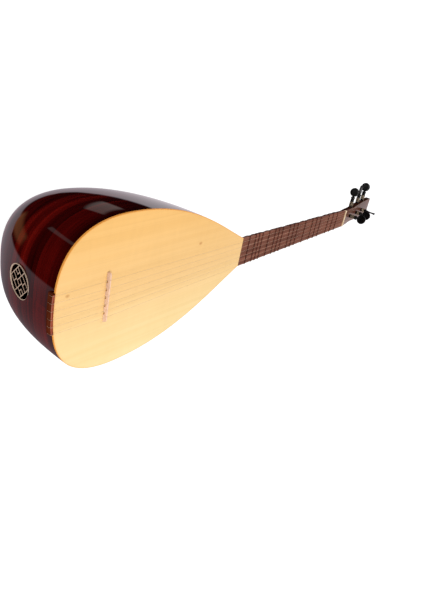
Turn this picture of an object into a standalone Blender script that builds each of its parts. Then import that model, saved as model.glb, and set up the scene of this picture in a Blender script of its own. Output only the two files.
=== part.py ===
"""Short-neck baglama (saz): ribbed bowl, soundboard, tied frets, tilted head with six pegs.

The soundboard faces +Z, the neck points along +X, the bowl hangs below.
Shapes are worked out in millimetres from the nut (x = 0, soundboard top z = 0)
and every object is then placed at BASE, which puts the frame origin under the middle.
"""
import math

import bmesh
import bpy
from mathutils import Matrix, Vector

MM = 0.001
GAP = 0.3

# where the nut and the soundboard top sit in the shared frame (mm)
NUT_X = 317.085
BOARD_Z = 220.7

# strings and neck (mm from the nut)
SCALE_LENGTH = 702.5
BODY_JOINT_X = -389.0
FRETS = (0.0556, 0.0833, 0.1111, 0.1605, 0.1852, 0.2099, 0.25, 0.2917, 0.3125,
         0.3333, 0.3704, 0.3889, 0.4074, 0.4375, 0.4688, 0.4844, 0.5, 0.5278)
NUT_HALF = 19.0
JOINT_HALF = 27.2
NECK_DEPTH = 20.0
NECK_THINNING = 3.0
HEEL_SWELL = 3.3
FINGERBOARD = 4.0
FRET_BAND = 2.6
FRET_CORD = 0.9
STRING_RADIUS = 0.2
TAIL_STRING_Y = (26.2, 15.5, 3.8, -8.6, -19.8, -31.2)
BRIDGE_STRING_Y = (28.0, 15.6, 3.6, -8.3, -19.3, -30.3)
NUT_STRING_Y = (15.5, 9.8, 3.8, -2.6, -9.0, -15.5)

# bowl (mm)
TAIL_X = -791.0
BODY_LENGTH = 401.7
HALF_WIDTH = 120.0
HEEL_HALF = 27.5
BOWL_DEPTH = 217.4
HEEL_DEPTH = 17.0
TAIL_RECESS = 138.3
BOARD = 3.0
RIM_Z = -(BOARD + GAP)
RIB = 3.0
RIBS_PER_SIDE = 7
WIDEST = 118.0
RIM_TAIL = ((0.0, 0.0), (0.0, 43.4), (3.6, HALF_WIDTH), (WIDEST, HALF_WIDTH))
RIM_NECK = ((WIDEST, HALF_WIDTH), (245.3, HALF_WIDTH), (328.8, 63.1),
            (BODY_LENGTH, HEEL_HALF))
ROSETTE_Z = -82.0
ROSETTE_OFFSET = 0.029
ROSETTE_LEAN = math.radians(3.3)
ROSETTE_INSET = 2.2
ROSETTE_RADIUS = 26.0
ROSETTE_RIM = 1.6
LATTICE_HALF = 0.8
# openings between the middle lines of the strips; each also appears turned by half a turn
LATTICE_OPENINGS = (((-15.0, 7.2), (-4.5, 7.2), (-4.5, 17.5), (-15.0, 17.5)),
                    ((-4.5, 4.2), (11.5, 4.2), (11.5, 9.8), (3.5, 9.8), (3.5, 17.5), (-4.5, 17.5)),
                    ((3.5, 9.8), (11.5, 9.8), (11.5, 17.5), (3.5, 17.5)),
                    ((11.5, 4.2), (27.0, 4.2), (27.0, 17.5), (11.5, 17.5)),
                    ((-27.0, -4.2), (-15.0, -4.2), (-15.0, 17.5), (-27.0, 17.5)),
                    ((-15.0, -4.2), (-4.5, -4.2), (-4.5, 7.2), (-15.0, 7.2)),
                    ((-27.0, 17.5), (27.0, 17.5), (27.0, 27.0), (-27.0, 27.0)))
LATTICE_MIDDLE = ((-4.5, -4.2), (4.5, -4.2), (4.5, 4.2), (-4.5, 4.2))

# bridge, tailpiece, nut (mm)
BRIDGE_HEIGHT = 6.0
BRIDGE_BASE = 4.6
BRIDGE_TOP = 2.0
BRIDGE_HALF = 39.0
BRIDGE_Y = -1.0
TAILPIECE_HALF = 30.8
TAILPIECE_Y = -2.6
NUT_TOP = 1.6

# head (mm, degrees)
HEAD_TILT = math.radians(7.0)
HEAD_START = 2.0
HEAD_STATIONS = ((0.0, 19.0, 20.0, 0.3, 1.0), (20.0, 18.0, 19.6, 2.5, 0.9),
                 (45.0, 16.3, 18.6, 5.0, 0.8), (75.0, 18.0, 17.4, 6.6, 0.7),
                 (105.0, 19.2, 16.4, 7.2, 0.65), (135.0, 19.3, 15.2, 7.2, 0.6),
                 (162.0, 18.6, 14.0, 7.0, 0.55))
FRONT_PEG_S = (33.0, 74.0, 110.0)
SIDE_PEG_S = (46.0, 88.0, 121.0)
SIDE_PEG_DEPTH = -7.6
SHAFT = 4.0
SHAFT_TIP = 3.6
SIDE_SHAFTS = (21.0, 17.7, 18.3)
FRONT_SHAFTS = (15.0, 11.8, 11.0)
SIDE_ROLLS = (16.0, 91.0, 16.0)
FRONT_ROLLS = (-16.0, -16.0, 74.0)
COLLAR = 4.8
PEG_NECK = 2.4
GRIP = 10.0
GRIP_REACH = 14.2
COIL = 4.8

COLORS = {
    "spruce": (0.86, 0.64, 0.32), "mahogany": (0.16, 0.02, 0.012),
    "walnut": (0.24, 0.10, 0.06), "rosewood": (0.26, 0.11, 0.07),
    "bone": (0.86, 0.76, 0.56), "ebony": (0.012, 0.012, 0.013),
    "steel": (0.62, 0.61, 0.58), "gut": (0.10, 0.03, 0.02),
    "beech": (0.72, 0.45, 0.32), "maple": (0.72, 0.55, 0.34), "lime": (0.62, 0.46, 0.28),
}

for old in list(bpy.data.objects):
    bpy.data.objects.remove(old, do_unlink=True)

parts = bpy.data.collections.new("short_neck_baglama")
cutters = bpy.data.collections.new("cutters")
bpy.context.scene.collection.children.link(parts)
bpy.context.scene.collection.children.link(cutters)
BASE = Vector((NUT_X, 0.0, BOARD_Z)) * MM


def material(name, rough, metallic=0.0):
    made = bpy.data.materials.new(name)
    made.use_nodes = True
    shader = made.node_tree.nodes["Principled BSDF"]
    shader.inputs["Base Color"].default_value = COLORS[name] + (1.0,)
    shader.inputs["Roughness"].default_value = rough
    shader.inputs["Metallic"].default_value = metallic
    made.diffuse_color = COLORS[name] + (1.0,)
    return made


def add_object(name, mesh, colour, collection=parts, place=None):
    made = bpy.data.objects.new(name, mesh)
    collection.objects.link(made)
    made.matrix_world = place if place is not None else Matrix.Translation(BASE)
    if collection is cutters:
        made.hide_render = True
        made.display_type = "WIRE"
    else:
        mesh.materials.clear()
        mesh.materials.append(paint[colour])
    return made


def finish_mesh(name, bm, smooth=False):
    bmesh.ops.remove_doubles(bm, verts=bm.verts, dist=0.00001)
    bmesh.ops.recalc_face_normals(bm, faces=bm.faces)
    for face in bm.faces:
        face.smooth = smooth
    mesh = bpy.data.meshes.new(name)
    bm.to_mesh(mesh)
    bm.free()
    return mesh


def loft(rings, closed_ends=True, loop=False):
    """Skin rings of equal length (mm points) into one closed body."""
    bm = bmesh.new()
    rows = [[bm.verts.new(Vector(p) * MM) for p in ring] for ring in rings]
    count = len(rows[0])
    pairs = list(zip(rows, rows[1:]))
    if loop:
        pairs.append((rows[-1], rows[0]))
    for near, far in pairs:
        for i in range(count):
            j = (i + 1) % count
            bm.faces.new((near[i], near[j], far[j], far[i]))
    if closed_ends and not loop:
        bm.faces.new(rows[0][::-1])
        bm.faces.new(rows[-1])
    return bm


def curve_mesh(name, points, radius=0.0, holes=(), thick=0.0, closed=False):
    """A bevelled wire, or a filled flat outline with holes, as a mesh (mm)."""
    data = bpy.data.curves.new(name, "CURVE")
    data.dimensions = "3D" if radius else "2D"
    for line in (points,) + tuple(holes):
        spline = data.splines.new("POLY")
        spline.points.add(len(line) - 1)
        for spot, place in zip(spline.points, line):
            at = Vector(place) * MM
            spot.co = (at.x, at.y, at.z if radius else 0.0, 1.0)
        spline.use_cyclic_u = closed or not radius
    if radius:
        data.bevel_depth = radius * MM
        data.bevel_resolution = 1
        data.use_fill_caps = True
    else:
        data.fill_mode = "BOTH"
        data.extrude = thick * 0.5 * MM
    holder = bpy.data.objects.new(name + "_curve", data)
    bpy.context.scene.collection.objects.link(holder)
    graph = bpy.context.evaluated_depsgraph_get()
    mesh = bpy.data.meshes.new_from_object(holder.evaluated_get(graph))
    bpy.data.objects.remove(holder, do_unlink=True)
    bpy.data.curves.remove(data)
    bm = bmesh.new()
    bm.from_mesh(mesh)
    bpy.data.meshes.remove(mesh)
    return finish_mesh(name, bm, smooth=bool(radius))


def boolean(target, cutter, operation="DIFFERENCE"):
    step = target.modifiers.new(operation.lower() + "_" + cutter.name, "BOOLEAN")
    step.operation = operation
    step.object = cutter
    step.solver = "EXACT"


def turned(name, profile, sides):
    """Revolve a profile of (radius, height) pairs about local Z."""
    rings = []
    for radius, height in profile:
        ring = [(radius * math.cos(math.tau * i / sides),
                 radius * math.sin(math.tau * i / sides), height) for i in range(sides)]
        rings.append(ring)
    return finish_mesh(name, loft(rings), smooth=True)


paint = {
    "spruce": material("spruce", 0.35), "mahogany": material("mahogany", 0.15),
    "walnut": material("walnut", 0.3), "rosewood": material("rosewood", 0.45),
    "bone": material("bone", 0.4), "ebony": material("ebony", 0.3),
    "steel": material("steel", 0.25, 1.0), "gut": material("gut", 0.4),
    "beech": material("beech", 0.5), "maple": material("maple", 0.5),
    "lime": material("lime", 0.6),
}


# ---------------------------------------------------------------- bowl surface
def bezier(points, u):
    v = 1.0 - u
    weights = (v * v * v, 3 * v * v * u, 3 * v * u * u, u * u * u)
    return (sum(w * p[0] for w, p in zip(weights, points)),
            sum(w * p[1] for w, p in zip(weights, points)))


def rim(t):
    """Distance from the tail and half width of the rim, t 0 (tail) to 1 (heel)."""
    side = -1.0 if t < 0 else 1.0
    t = abs(t)
    if t <= 0.5:
        along, half = bezier(RIM_TAIL, t * 2.0)
    else:
        along, half = bezier(RIM_NECK, t * 2.0 - 1.0)
    return along, side * half


def power(value, exponent):
    return math.copysign(abs(value) ** exponent, value)


def bowl_raw(angle, t):
    along, half = rim(t)
    share = min(along / BODY_LENGTH, 1.0)
    blend = share ** 3
    cosine = math.cos(angle)
    sine = math.sin(angle)
    tuck = TAIL_RECESS * (1.0 - share) * (1.0 - abs(cosine) ** 0.89) ** 1.26
    depth = HEEL_DEPTH + (BOWL_DEPTH - HEEL_DEPTH) * (1.0 - share ** 2.93) ** 0.88
    return Vector((TAIL_X + along + tuck,
                   half * power(cosine, 0.54 + 0.46 * blend),
                   RIM_Z - depth * power(sine, 0.95 + 0.05 * blend)))


def bowl_normal(angle, t):
    step = 0.0005
    if abs(t) < 1e-9:
        sideways = Vector((0.0, 1.0, 0.0))
        if angle < 0.8:
            around = bowl_raw(angle + step, t) - bowl_raw(angle, t)
        else:
            around = bowl_raw(angle, t) - bowl_raw(angle - step, t)
    else:
        sideways = bowl_raw(angle, t + step) - bowl_raw(angle, t - step)
        if t > 1.0 - step:
            sideways = bowl_raw(angle, t) - bowl_raw(angle, t - step)
        around = bowl_raw(angle + step, t) - bowl_raw(angle - step, t)
    normal = around.cross(sideways).normalized()
    spot = bowl_raw(angle, t)
    middle = Vector((min(max(spot.x, TAIL_X + 91.0), BODY_JOINT_X - 6.0), 0.0, RIM_Z - 8.0))
    return normal if normal.dot(spot - middle) > 0 else -normal


def bowl(angle, t, inward=0.0):
    """Point on the bowl; angles past a right angle are the other side."""
    flip = 1.0
    if angle > math.pi / 2:
        angle = math.pi - angle
        flip = -1.0
    if t < 0:
        t = -t
        flip = -flip
    spot = bowl_raw(angle, t)
    if inward:
        spot = spot - bowl_normal(angle, t) * inward
    return Vector((spot.x, spot.y * flip, spot.z))


def rib_angles():
    """Rib edges spaced evenly round the widest section."""
    steps = 720
    spots = [bowl_raw(math.pi / 2 * i / steps, 0.5) for i in range(steps + 1)]
    run = [0.0]
    for near, far in zip(spots, spots[1:]):
        run.append(run[-1] + (far - near).length)
    edges = []
    for k in range(RIBS_PER_SIDE + 1):
        goal = run[-1] * k / (RIBS_PER_SIDE + 0.5)
        index = min(range(steps + 1), key=lambda i: abs(run[i] - goal))
        edges.append(math.pi / 2 * index / steps)
    return edges


STATIONS = (0.0, 0.06, 0.125, 0.195, 0.27, 0.345, 0.42, 0.5, 0.55, 0.605,
            0.66, 0.715, 0.77, 0.825, 0.875, 0.92, 0.96, 1.0)


def shift_angle(angle, t, distance):
    """Move along the section by a distance in mm."""
    here = bowl_raw(angle, t)
    there = bowl_raw(angle + 0.002, t)
    return angle + 0.002 * distance / max((there - here).length, 1e-6)


def rib_mesh(name, start, end, columns, keel):
    half_gap = GAP * 0.5
    outer = []
    inner = []
    for t in STATIONS:
        low = start if start == 0.0 else shift_angle(start, t, half_gap)
        high = math.pi - low if keel else shift_angle(end, t, -half_gap)
        row_out = []
        row_in = []
        for j in range(columns + 1):
            angle = low + (high - low) * j / columns
            for row, inward in ((row_out, 0.0), (row_in, RIB)):
                spot = bowl(angle, t, inward)
                if t == 0.0:
                    spot.y = 0.0 if keel else half_gap
                row.append(spot)
        outer.append(row_out)
        inner.append(row_in)
    bm = bmesh.new()
    out_v = [[bm.verts.new(p * MM) for p in row] for row in outer]
    in_v = [[bm.verts.new(p * MM) for p in row] for row in inner]
    for i in range(len(STATIONS) - 1):
        for j in range(columns):
            bm.faces.new((out_v[i][j], out_v[i][j + 1], out_v[i + 1][j + 1], out_v[i + 1][j]))
            bm.faces.new((in_v[i][j], in_v[i + 1][j], in_v[i + 1][j + 1], in_v[i][j + 1]))
        for j in (0, columns):
            bm.faces.new((out_v[i][j], out_v[i + 1][j], in_v[i + 1][j], in_v[i][j]))
    ends = (len(STATIONS) - 1,) if keel else (0, len(STATIONS) - 1)
    for i in ends:
        for j in range(columns):
            bm.faces.new((out_v[i][j], in_v[i][j], in_v[i][j + 1], out_v[i][j + 1]))
    return finish_mesh(name, bm, smooth=False)


edges = rib_angles()
rosette_angle = min((math.pi / 2 * i / 2000 for i in range(2001)),
                    key=lambda a: abs(bowl_raw(a, 0.0).z - ROSETTE_Z))
rosette_out = Matrix.Rotation(ROSETTE_LEAN, 3, "Z") @ bowl_normal(rosette_angle, ROSETTE_OFFSET)
rosette_at = bowl(rosette_angle, ROSETTE_OFFSET, ROSETTE_INSET)
rosette_turn = rosette_out.to_track_quat("Z", "Y").to_matrix().to_4x4()
rosette_place = Matrix.Translation(BASE + rosette_at * MM) @ rosette_turn
rosette_cut = add_object("rosette_cutter",
                         turned("rosette_cutter", ((ROSETTE_RADIUS + GAP, -12.0),
                                                   (ROSETTE_RADIUS + GAP, 12.0)), 32),
                         None, cutters, rosette_place)
for k in range(RIBS_PER_SIDE):
    for side, label in ((1.0, "left"), (-1.0, "right")):
        rib_name = "rib_%s_%d" % (label, k + 1)
        mesh = rib_mesh(rib_name, edges[k], edges[k + 1], 2, False)
        if side < 0:
            mesh.transform(Matrix.Scale(-1.0, 4, (0.0, 1.0, 0.0)))
            mesh.flip_normals()
        rib = add_object(rib_name, mesh, "mahogany")
        low_z = bowl_raw(edges[k + 1], 0.0).z
        high_z = bowl_raw(edges[k], 0.0).z
        if low_z < ROSETTE_Z + ROSETTE_RADIUS and high_z > ROSETTE_Z - ROSETTE_RADIUS:
            boolean(rib, rosette_cut)
add_object("rib_keel", rib_mesh("rib_keel", edges[RIBS_PER_SIDE], 0.0, 4, True), "mahogany")


# ------------------------------------------------------------------- rosette
def clip_to_circle(shape, radius, sides=28):
    """Cut a convex outline down to what lies inside a circle."""
    for i in range(sides):
        middle = math.tau * (i + 0.5) / sides
        limit = radius * math.cos(math.pi / sides)
        kept = []
        for (ax, ay), (bx, by) in zip(shape, shape[1:] + shape[:1]):
            a = ax * math.cos(middle) + ay * math.sin(middle) - limit
            b = bx * math.cos(middle) + by * math.sin(middle) - limit
            if a <= 0:
                kept.append((ax, ay))
            if (a < 0 < b) or (b < 0 < a):
                share = a / (a - b)
                kept.append((ax + (bx - ax) * share, ay + (by - ay) * share))
        shape = kept
        if len(shape) < 3:
            return []
    return shape


def shrink(shape, distance):
    """Move every side of a square-cornered outline inwards."""
    made = []
    count = len(shape)
    for i in range(count):
        before, here, after = (Vector(shape[i - 1]), Vector(shape[i]), Vector(shape[(i + 1) % count]))
        along = (here - before).normalized()
        onward = (after - here).normalized()
        made.append((here.x - (along.y + onward.y) * distance, here.y + (along.x + onward.x) * distance))
    return made


circle = [(ROSETTE_RADIUS * math.cos(math.tau * i / 32),
           ROSETTE_RADIUS * math.sin(math.tau * i / 32), 0.0) for i in range(32)]
lattice_turn = math.radians(-45.0)
holes = []
for opening in (LATTICE_MIDDLE,) + LATTICE_OPENINGS + tuple(tuple((-x, -y) for x, y in shape)
                                                            for shape in LATTICE_OPENINGS):
    cell = shrink(opening, LATTICE_HALF)
    cell = [(x * math.cos(lattice_turn) - y * math.sin(lattice_turn),
             x * math.sin(lattice_turn) + y * math.cos(lattice_turn)) for x, y in cell]
    clipped = clip_to_circle(cell, ROSETTE_RADIUS - ROSETTE_RIM)
    holes.append([(x, y, 0.0) for x, y in clipped])
add_object("rosette", curve_mesh("rosette", circle, holes=holes, thick=3.0), "bone",
           place=rosette_place)

# -------------------------------------------------------------- soundboard
outline = []
for i in range(0, 33):
    t = i / 32.0
    along, half = rim(t)
    outline.append((TAIL_X + along, half, 0.0))
outline += [(x, -y, 0.0) for x, y, z in outline[:0:-1]]
board_mesh = curve_mesh("soundboard", outline, thick=BOARD)
board_mesh.transform(Matrix.Translation((0.0, 0.0, -BOARD * 0.5 * MM)))
add_object("soundboard", board_mesh, "spruce")


def rim_half_at(x):
    low = 0.3
    high = 1.0
    for _ in range(40):
        middle = (low + high) * 0.5
        if TAIL_X + rim(middle)[0] < x:
            low = middle
        else:
            high = middle
    return rim(low)[1]


def plate_yz(name, outline_yz, thick, x):
    """Flat outline in the YZ plane, thick along X, centred at x."""
    mesh = curve_mesh(name, [(y, z, 0.0) for y, z in outline_yz], thick=thick)
    turn = Matrix(((0, 0, 1, x * MM), (1, 0, 0, 0), (0, 1, 0, 0), (0, 0, 0, 1)))
    mesh.transform(turn)
    return mesh


for label, x in (("rear", -655.0), ("front", -530.0)):
    half = rim_half_at(x) - 5.0
    bar = [(-half, -3.3), (-half, -7.0), (-half + 26.0, -14.0), (half - 26.0, -14.0),
           (half, -7.0), (half, -3.3)]
    add_object("brace_" + label, plate_yz("brace_" + label, bar, 8.0, x), "maple")


def block(name, angles, ts, outside, inside):
    """A piece of wood following the inner face of the bowl."""
    rings = []
    for t in ts:
        ring = [bowl(a, t, outside) for a in angles]
        ring += [bowl(a, t, inside) for a in reversed(angles)]
        rings.append(ring)
    return finish_mesh(name, loft(rings))


tail_angles = [math.radians(a) for a in (0.0, 3.0, 6.0, 9.0)]
tail_steps = (-0.115, -0.08, -0.045, 0.0, 0.045, 0.08, 0.115)
add_object("tail_block", block("tail_block", tail_angles, tail_steps, RIB + 0.8, RIB + 12.0),
           "lime")

heel_rings = []
for t in (0.87, 0.915, 0.96, 0.9995):
    heel_rings.append([bowl(math.radians(a), t, RIB + 1.0) for a in range(0, 181, 15)])
neck_block = add_object("neck_block", finish_mesh("neck_block", loft(heel_rings)), "lime")


# -------------------------------------------------------- neck and fingerboard
def neck_share(x):
    return x / BODY_JOINT_X


def neck_half(x):
    return NUT_HALF + (JOINT_HALF - NUT_HALF) * neck_share(x)


def neck_depth(x):
    """The neck thins slightly towards the body, then swells into the heel."""
    share = neck_share(x)
    return NECK_DEPTH - NECK_THINNING * share + HEEL_SWELL * share ** 6


def neck_ring(x, grow, from_top):
    """Round back of the neck, from the seam under the fingerboard or from its top."""
    half = neck_half(x) + grow
    deep = neck_depth(x) + grow
    first = math.asin((FINGERBOARD + GAP) / deep)
    ring = []
    for i in range(11):
        angle = first + (math.pi - 2.0 * first) * i / 10
        ring.append((x, half * math.cos(angle), -deep * math.sin(angle)))
    if from_top:
        ring = [(x, half, grow), (x, half, 0.0)] + ring + [(x, -half, 0.0), (x, -half, grow)]
    return ring


def box(name, low, high, bevel=0.0):
    bm = bmesh.new()
    bmesh.ops.create_cube(bm, size=1.0)
    size = Vector(high) - Vector(low)
    middle = (Vector(high) + Vector(low)) * 0.5
    for vert in bm.verts:
        vert.co = Vector((vert.co.x * size.x, vert.co.y * size.y, vert.co.z * size.z)) + middle
        vert.co *= MM
    if bevel:
        bmesh.ops.bevel(bm, geom=list(bm.edges), offset=bevel * MM, segments=1, affect="EDGES")
    return finish_mesh(name, bm)


neck_shares = (1.0, 0.96, 0.9, 0.82, 0.7, 0.5, 0.25, 0.0)
neck_rings = [neck_ring(BODY_JOINT_X * share, 0.0, False) for share in neck_shares]
neck_rings.append(neck_ring(HEAD_START - GAP, 0.0, False))
neck = add_object("neck", finish_mesh("neck", loft(neck_rings)), "walnut")
tenon = add_object("tenon", box("tenon", (BODY_JOINT_X - 26.0, -7.0, -12.5),
                                (BODY_JOINT_X + 4.0, 7.0, -7.0)), None, cutters)
mortise = add_object("mortise", box("mortise", (BODY_JOINT_X - 26.3, -7.3, -12.8),
                                    (BODY_JOINT_X + 4.0, 7.3, -6.7)), None, cutters)
boolean(neck, tenon, "UNION")
boolean(neck_block, mortise)

board_ends = (BODY_JOINT_X + GAP, BODY_JOINT_X * 0.5, -1.5 - GAP)
finger_rings = []
for x in board_ends:
    half = neck_half(x)
    under = half * math.sqrt(1.0 - (FINGERBOARD / neck_depth(x)) ** 2)
    finger_rings.append([(x, half, 0.0), (x, under, -FINGERBOARD), (x, -under, -FINGERBOARD),
                         (x, -half, 0.0)])
add_object("fingerboard", finish_mesh("fingerboard", loft(finger_rings)), "rosewood")

for number, share in enumerate(FRETS, start=1):
    x = -share * 700.0
    section = ((-0.5, 0.5), (-0.3, 1.0), (0.3, 1.0), (0.5, 0.5), (0.3, 0.0), (-0.3, 0.0))
    rings = []
    columns = []
    for across, up in section:
        grow = GAP + up * FRET_CORD
        columns.append([(p[0] + across * FRET_BAND, p[1], p[2])
                        for p in neck_ring(x, grow, True)])
    for i in range(len(columns[0])):
        rings.append([column[i] for column in columns])
    name = "fret_%02d" % number
    add_object(name, finish_mesh(name, loft(rings, loop=True)), "gut")


# ------------------------------------------------------- nut, bridge, tailpiece
def notched_top(half, top, spots, depth, width):
    """Top edge from +half to -half with a notch under every string."""
    line = [(half, top)]
    for y in sorted(spots, reverse=True):
        line += [(y + width, top), (y, top - depth), (y - width, top)]
    line.append((-half, top))
    return line


nut_outline = notched_top(NUT_HALF - 0.2, NUT_TOP, NUT_STRING_Y, 0.5, 0.7)
nut_outline += [(-NUT_HALF + 0.6, -FINGERBOARD), (NUT_HALF - 0.6, -FINGERBOARD)]
add_object("nut", plate_yz("nut", nut_outline, 3.0, 0.0), "bone")

bridge_outline = notched_top(BRIDGE_HALF - 4.0, BRIDGE_HEIGHT,
                             [y - BRIDGE_Y for y in BRIDGE_STRING_Y], 0.5, 0.7)
bridge_outline += [(-BRIDGE_HALF, BRIDGE_HEIGHT * 0.45), (-BRIDGE_HALF, GAP)]
for spot in (-25.0, -12.5, 0.0, 12.5, 25.0):
    bridge_outline += [(spot - 2.6, GAP), (spot - 1.8, 1.9), (spot, 2.6), (spot + 1.8, 1.9),
                       (spot + 2.6, GAP)]
bridge_outline += [(BRIDGE_HALF, GAP), (BRIDGE_HALF, BRIDGE_HEIGHT * 0.45)]
bridge_mesh = plate_yz("bridge", bridge_outline, BRIDGE_BASE, 0.0)
bridge_taper = 1.0 - BRIDGE_TOP / BRIDGE_BASE
for vert in bridge_mesh.vertices:
    vert.co.x *= 1.0 - bridge_taper * vert.co.z / (BRIDGE_HEIGHT * MM)
    vert.co.x -= SCALE_LENGTH * MM
    vert.co.y += BRIDGE_Y * MM
add_object("bridge", bridge_mesh, "beech")


def tail_x_at(y):
    low = 0.0
    high = 0.25
    for _ in range(40):
        middle = (low + high) * 0.5
        if rim(middle)[1] < abs(y):
            low = middle
        else:
            high = middle
    return TAIL_X + rim(low)[0]


tail_section = ((-0.3, -11.0), (-0.3, 1.0), (-2.8, 1.5), (-4.9, 0.6), (-5.3, -7.0), (-2.3, -11.0))
tail_rings = []
for i in range(9):
    y = TAILPIECE_Y - TAILPIECE_HALF + 2.0 * TAILPIECE_HALF * i / 8
    back = tail_x_at(y)
    tail_rings.append([(back + dx, y, z) for dx, z in tail_section])
tailpiece = add_object("tailpiece", finish_mesh("tailpiece", loft(tail_rings)), "walnut")
for number, y in enumerate(TAIL_STRING_Y, start=1):
    back = tail_x_at(y)
    hole = box("string_hole_%d" % number, (back - 8.0, y - 0.6, -6.2), (back - 2.2, y + 0.6, -4.8))
    boolean(tailpiece, add_object("string_hole_%d" % number, hole, None, cutters))


# ------------------------------------------------------------------- head
def head_point(s, y, z):
    """Head frame (along the face, across, out of the face) to nut frame."""
    return Vector((HEAD_START + s * math.cos(HEAD_TILT) + z * math.sin(HEAD_TILT), y,
                   -GAP - s * math.sin(HEAD_TILT) + z * math.cos(HEAD_TILT)))


def head_value(s, column):
    for near, far in zip(HEAD_STATIONS, HEAD_STATIONS[1:]):
        if s <= far[0]:
            share = (s - near[0]) / (far[0] - near[0])
            return near[column] + (far[column] - near[column]) * share
    return HEAD_STATIONS[-1][column]


head_rings = []
for s, half, deep, side, square in HEAD_STATIONS:
    section = [(half, 0.0)]
    for i in range(11):
        angle = math.pi * i / 10
        section.append((half * power(math.cos(angle), square),
                        -side - (deep - side) * abs(math.sin(angle)) ** square))
    section.append((-half, 0.0))
    head_rings.append([head_point(s if s else -z * math.tan(HEAD_TILT), y, z)
                       for y, z in section])
headstock = add_object("headstock", finish_mesh("headstock", loft(head_rings)), "walnut")

HEAD_TURN = Matrix.Rotation(HEAD_TILT, 4, "Y")


# ------------------------------------------------------------------- pegs
def peg_mesh(name, inside, shaft):
    """Tapered shaft, collar, thin neck and a round grip with hollowed faces; Z is the axis."""
    stations = [(-inside, SHAFT_TIP - 0.5, SHAFT_TIP - 0.5), (-inside + 0.6, SHAFT_TIP, SHAFT_TIP),
                (0.0, SHAFT, SHAFT), (shaft, SHAFT, SHAFT), (shaft + 0.8, COLLAR, COLLAR),
                (shaft + 2.4, COLLAR, COLLAR), (shaft + 3.4, 2.9, 2.9),
                (shaft + 4.2, PEG_NECK, PEG_NECK)]
    for turn, thick in ((-72.0, 3.2), (-58.0, 3.4), (-40.0, 3.1), (-20.0, 2.5), (5.0, 2.2),
                        (30.0, 2.4), (50.0, 2.8), (67.0, 3.0), (82.0, 2.7)):
        angle = math.radians(turn)
        stations.append((shaft + GRIP_REACH + GRIP * math.sin(angle), thick, GRIP * math.cos(angle)))
    rings = []
    for height, thick, wide in stations:
        square = 1.0 if thick == wide else 0.8
        rings.append([(thick * power(math.cos(math.tau * i / 14), square),
                       wide * power(math.sin(math.tau * i / 14), square), height)
                      for i in range(14)])
    return finish_mesh(name, loft(rings), smooth=True)


def add_peg(name, place, inside, shaft, roll):
    turn = Matrix.Rotation(math.radians(roll), 4, "Z")
    add_object(name, peg_mesh(name, inside, shaft), "ebony", place=place @ turn)
    bore = ((SHAFT_TIP + GAP, -inside - 3.0), (SHAFT_TIP + GAP, -inside), (SHAFT + GAP, 0.0),
            (SHAFT + GAP, 3.0))
    hole = add_object(name + "_bore", turned(name + "_bore", bore, 14), None, cutters, place)
    boolean(headstock, hole)


def wind(place, start_angle, start_height, turns, direction):
    """Points of a string wound on a shaft, local Z up the shaft (mm, nut frame)."""
    steps = int(turns * 8)
    points = []
    for i in range(steps + 1):
        angle = start_angle + direction * math.tau * i / 8
        local = Vector((COIL * math.cos(angle), COIL * math.sin(angle), start_height + i * 1.1 / 8))
        points.append((place @ (local * MM) - BASE) / MM)
    return points


def common_string(number):
    """Anchor in the tailpiece, over the ridge and the bridge to the nut (mm)."""
    y = TAIL_STRING_Y[number - 1]
    back = tail_x_at(y)
    crossing = BRIDGE_HEIGHT + 0.45
    return [Vector((back - 3.2, y, -5.5)), Vector((back - 5.85, y, -5.5)),
            Vector((back - 5.75, y, 0.7)), Vector((back - 2.8, y, 2.05)),
            Vector((-SCALE_LENGTH, BRIDGE_STRING_Y[number - 1], crossing)),
            Vector((-0.2, NUT_STRING_Y[number - 1], NUT_TOP + 0.45)),
            Vector((1.4, NUT_STRING_Y[number - 1], NUT_TOP + 0.4))]


# side pegs take the strings on the +Y half, the nearest peg the outermost string
for number, s in enumerate(SIDE_PEG_S, start=1):
    edge = head_value(s, 1)
    root = head_point(s, edge, SIDE_PEG_DEPTH)
    place = Matrix.Translation(BASE + root * MM) @ HEAD_TURN @ Matrix.Rotation(-math.pi / 2, 4, "X")
    add_peg("peg_side_%d" % number, place, 2.0 * edge - 3.0, SIDE_SHAFTS[number - 1],
            SIDE_ROLLS[number - 1])
    route = common_string(number)
    reach = s - 9.0
    route.append(head_point(reach, head_value(reach, 1) + 0.5, 0.7))
    start = math.radians(-120.0)
    route += wind(place, start, 5.0, 3.0, 1.0)
    name = "string_%d" % number
    add_object(name, curve_mesh(name, route, STRING_RADIUS), "steel")

# front pegs take the strings on the -Y half
for number, s in enumerate(FRONT_PEG_S, start=1):
    root = head_point(s, 0.0, 0.0)
    place = Matrix.Translation(BASE + root * MM) @ HEAD_TURN
    add_peg("peg_front_%d" % number, place, head_value(s, 2) - 0.5, FRONT_SHAFTS[number - 1],
            FRONT_ROLLS[number - 1])
    route = common_string(number + 3)
    route += wind(place, math.radians(-100.0), 6.0, 3.0, 1.0)
    name = "string_%d" % (number + 3)
    add_object(name, curve_mesh(name, route, STRING_RADIUS), "steel")
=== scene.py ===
import math

import bmesh
import bpy
from mathutils import Euler, Matrix, Vector


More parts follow.
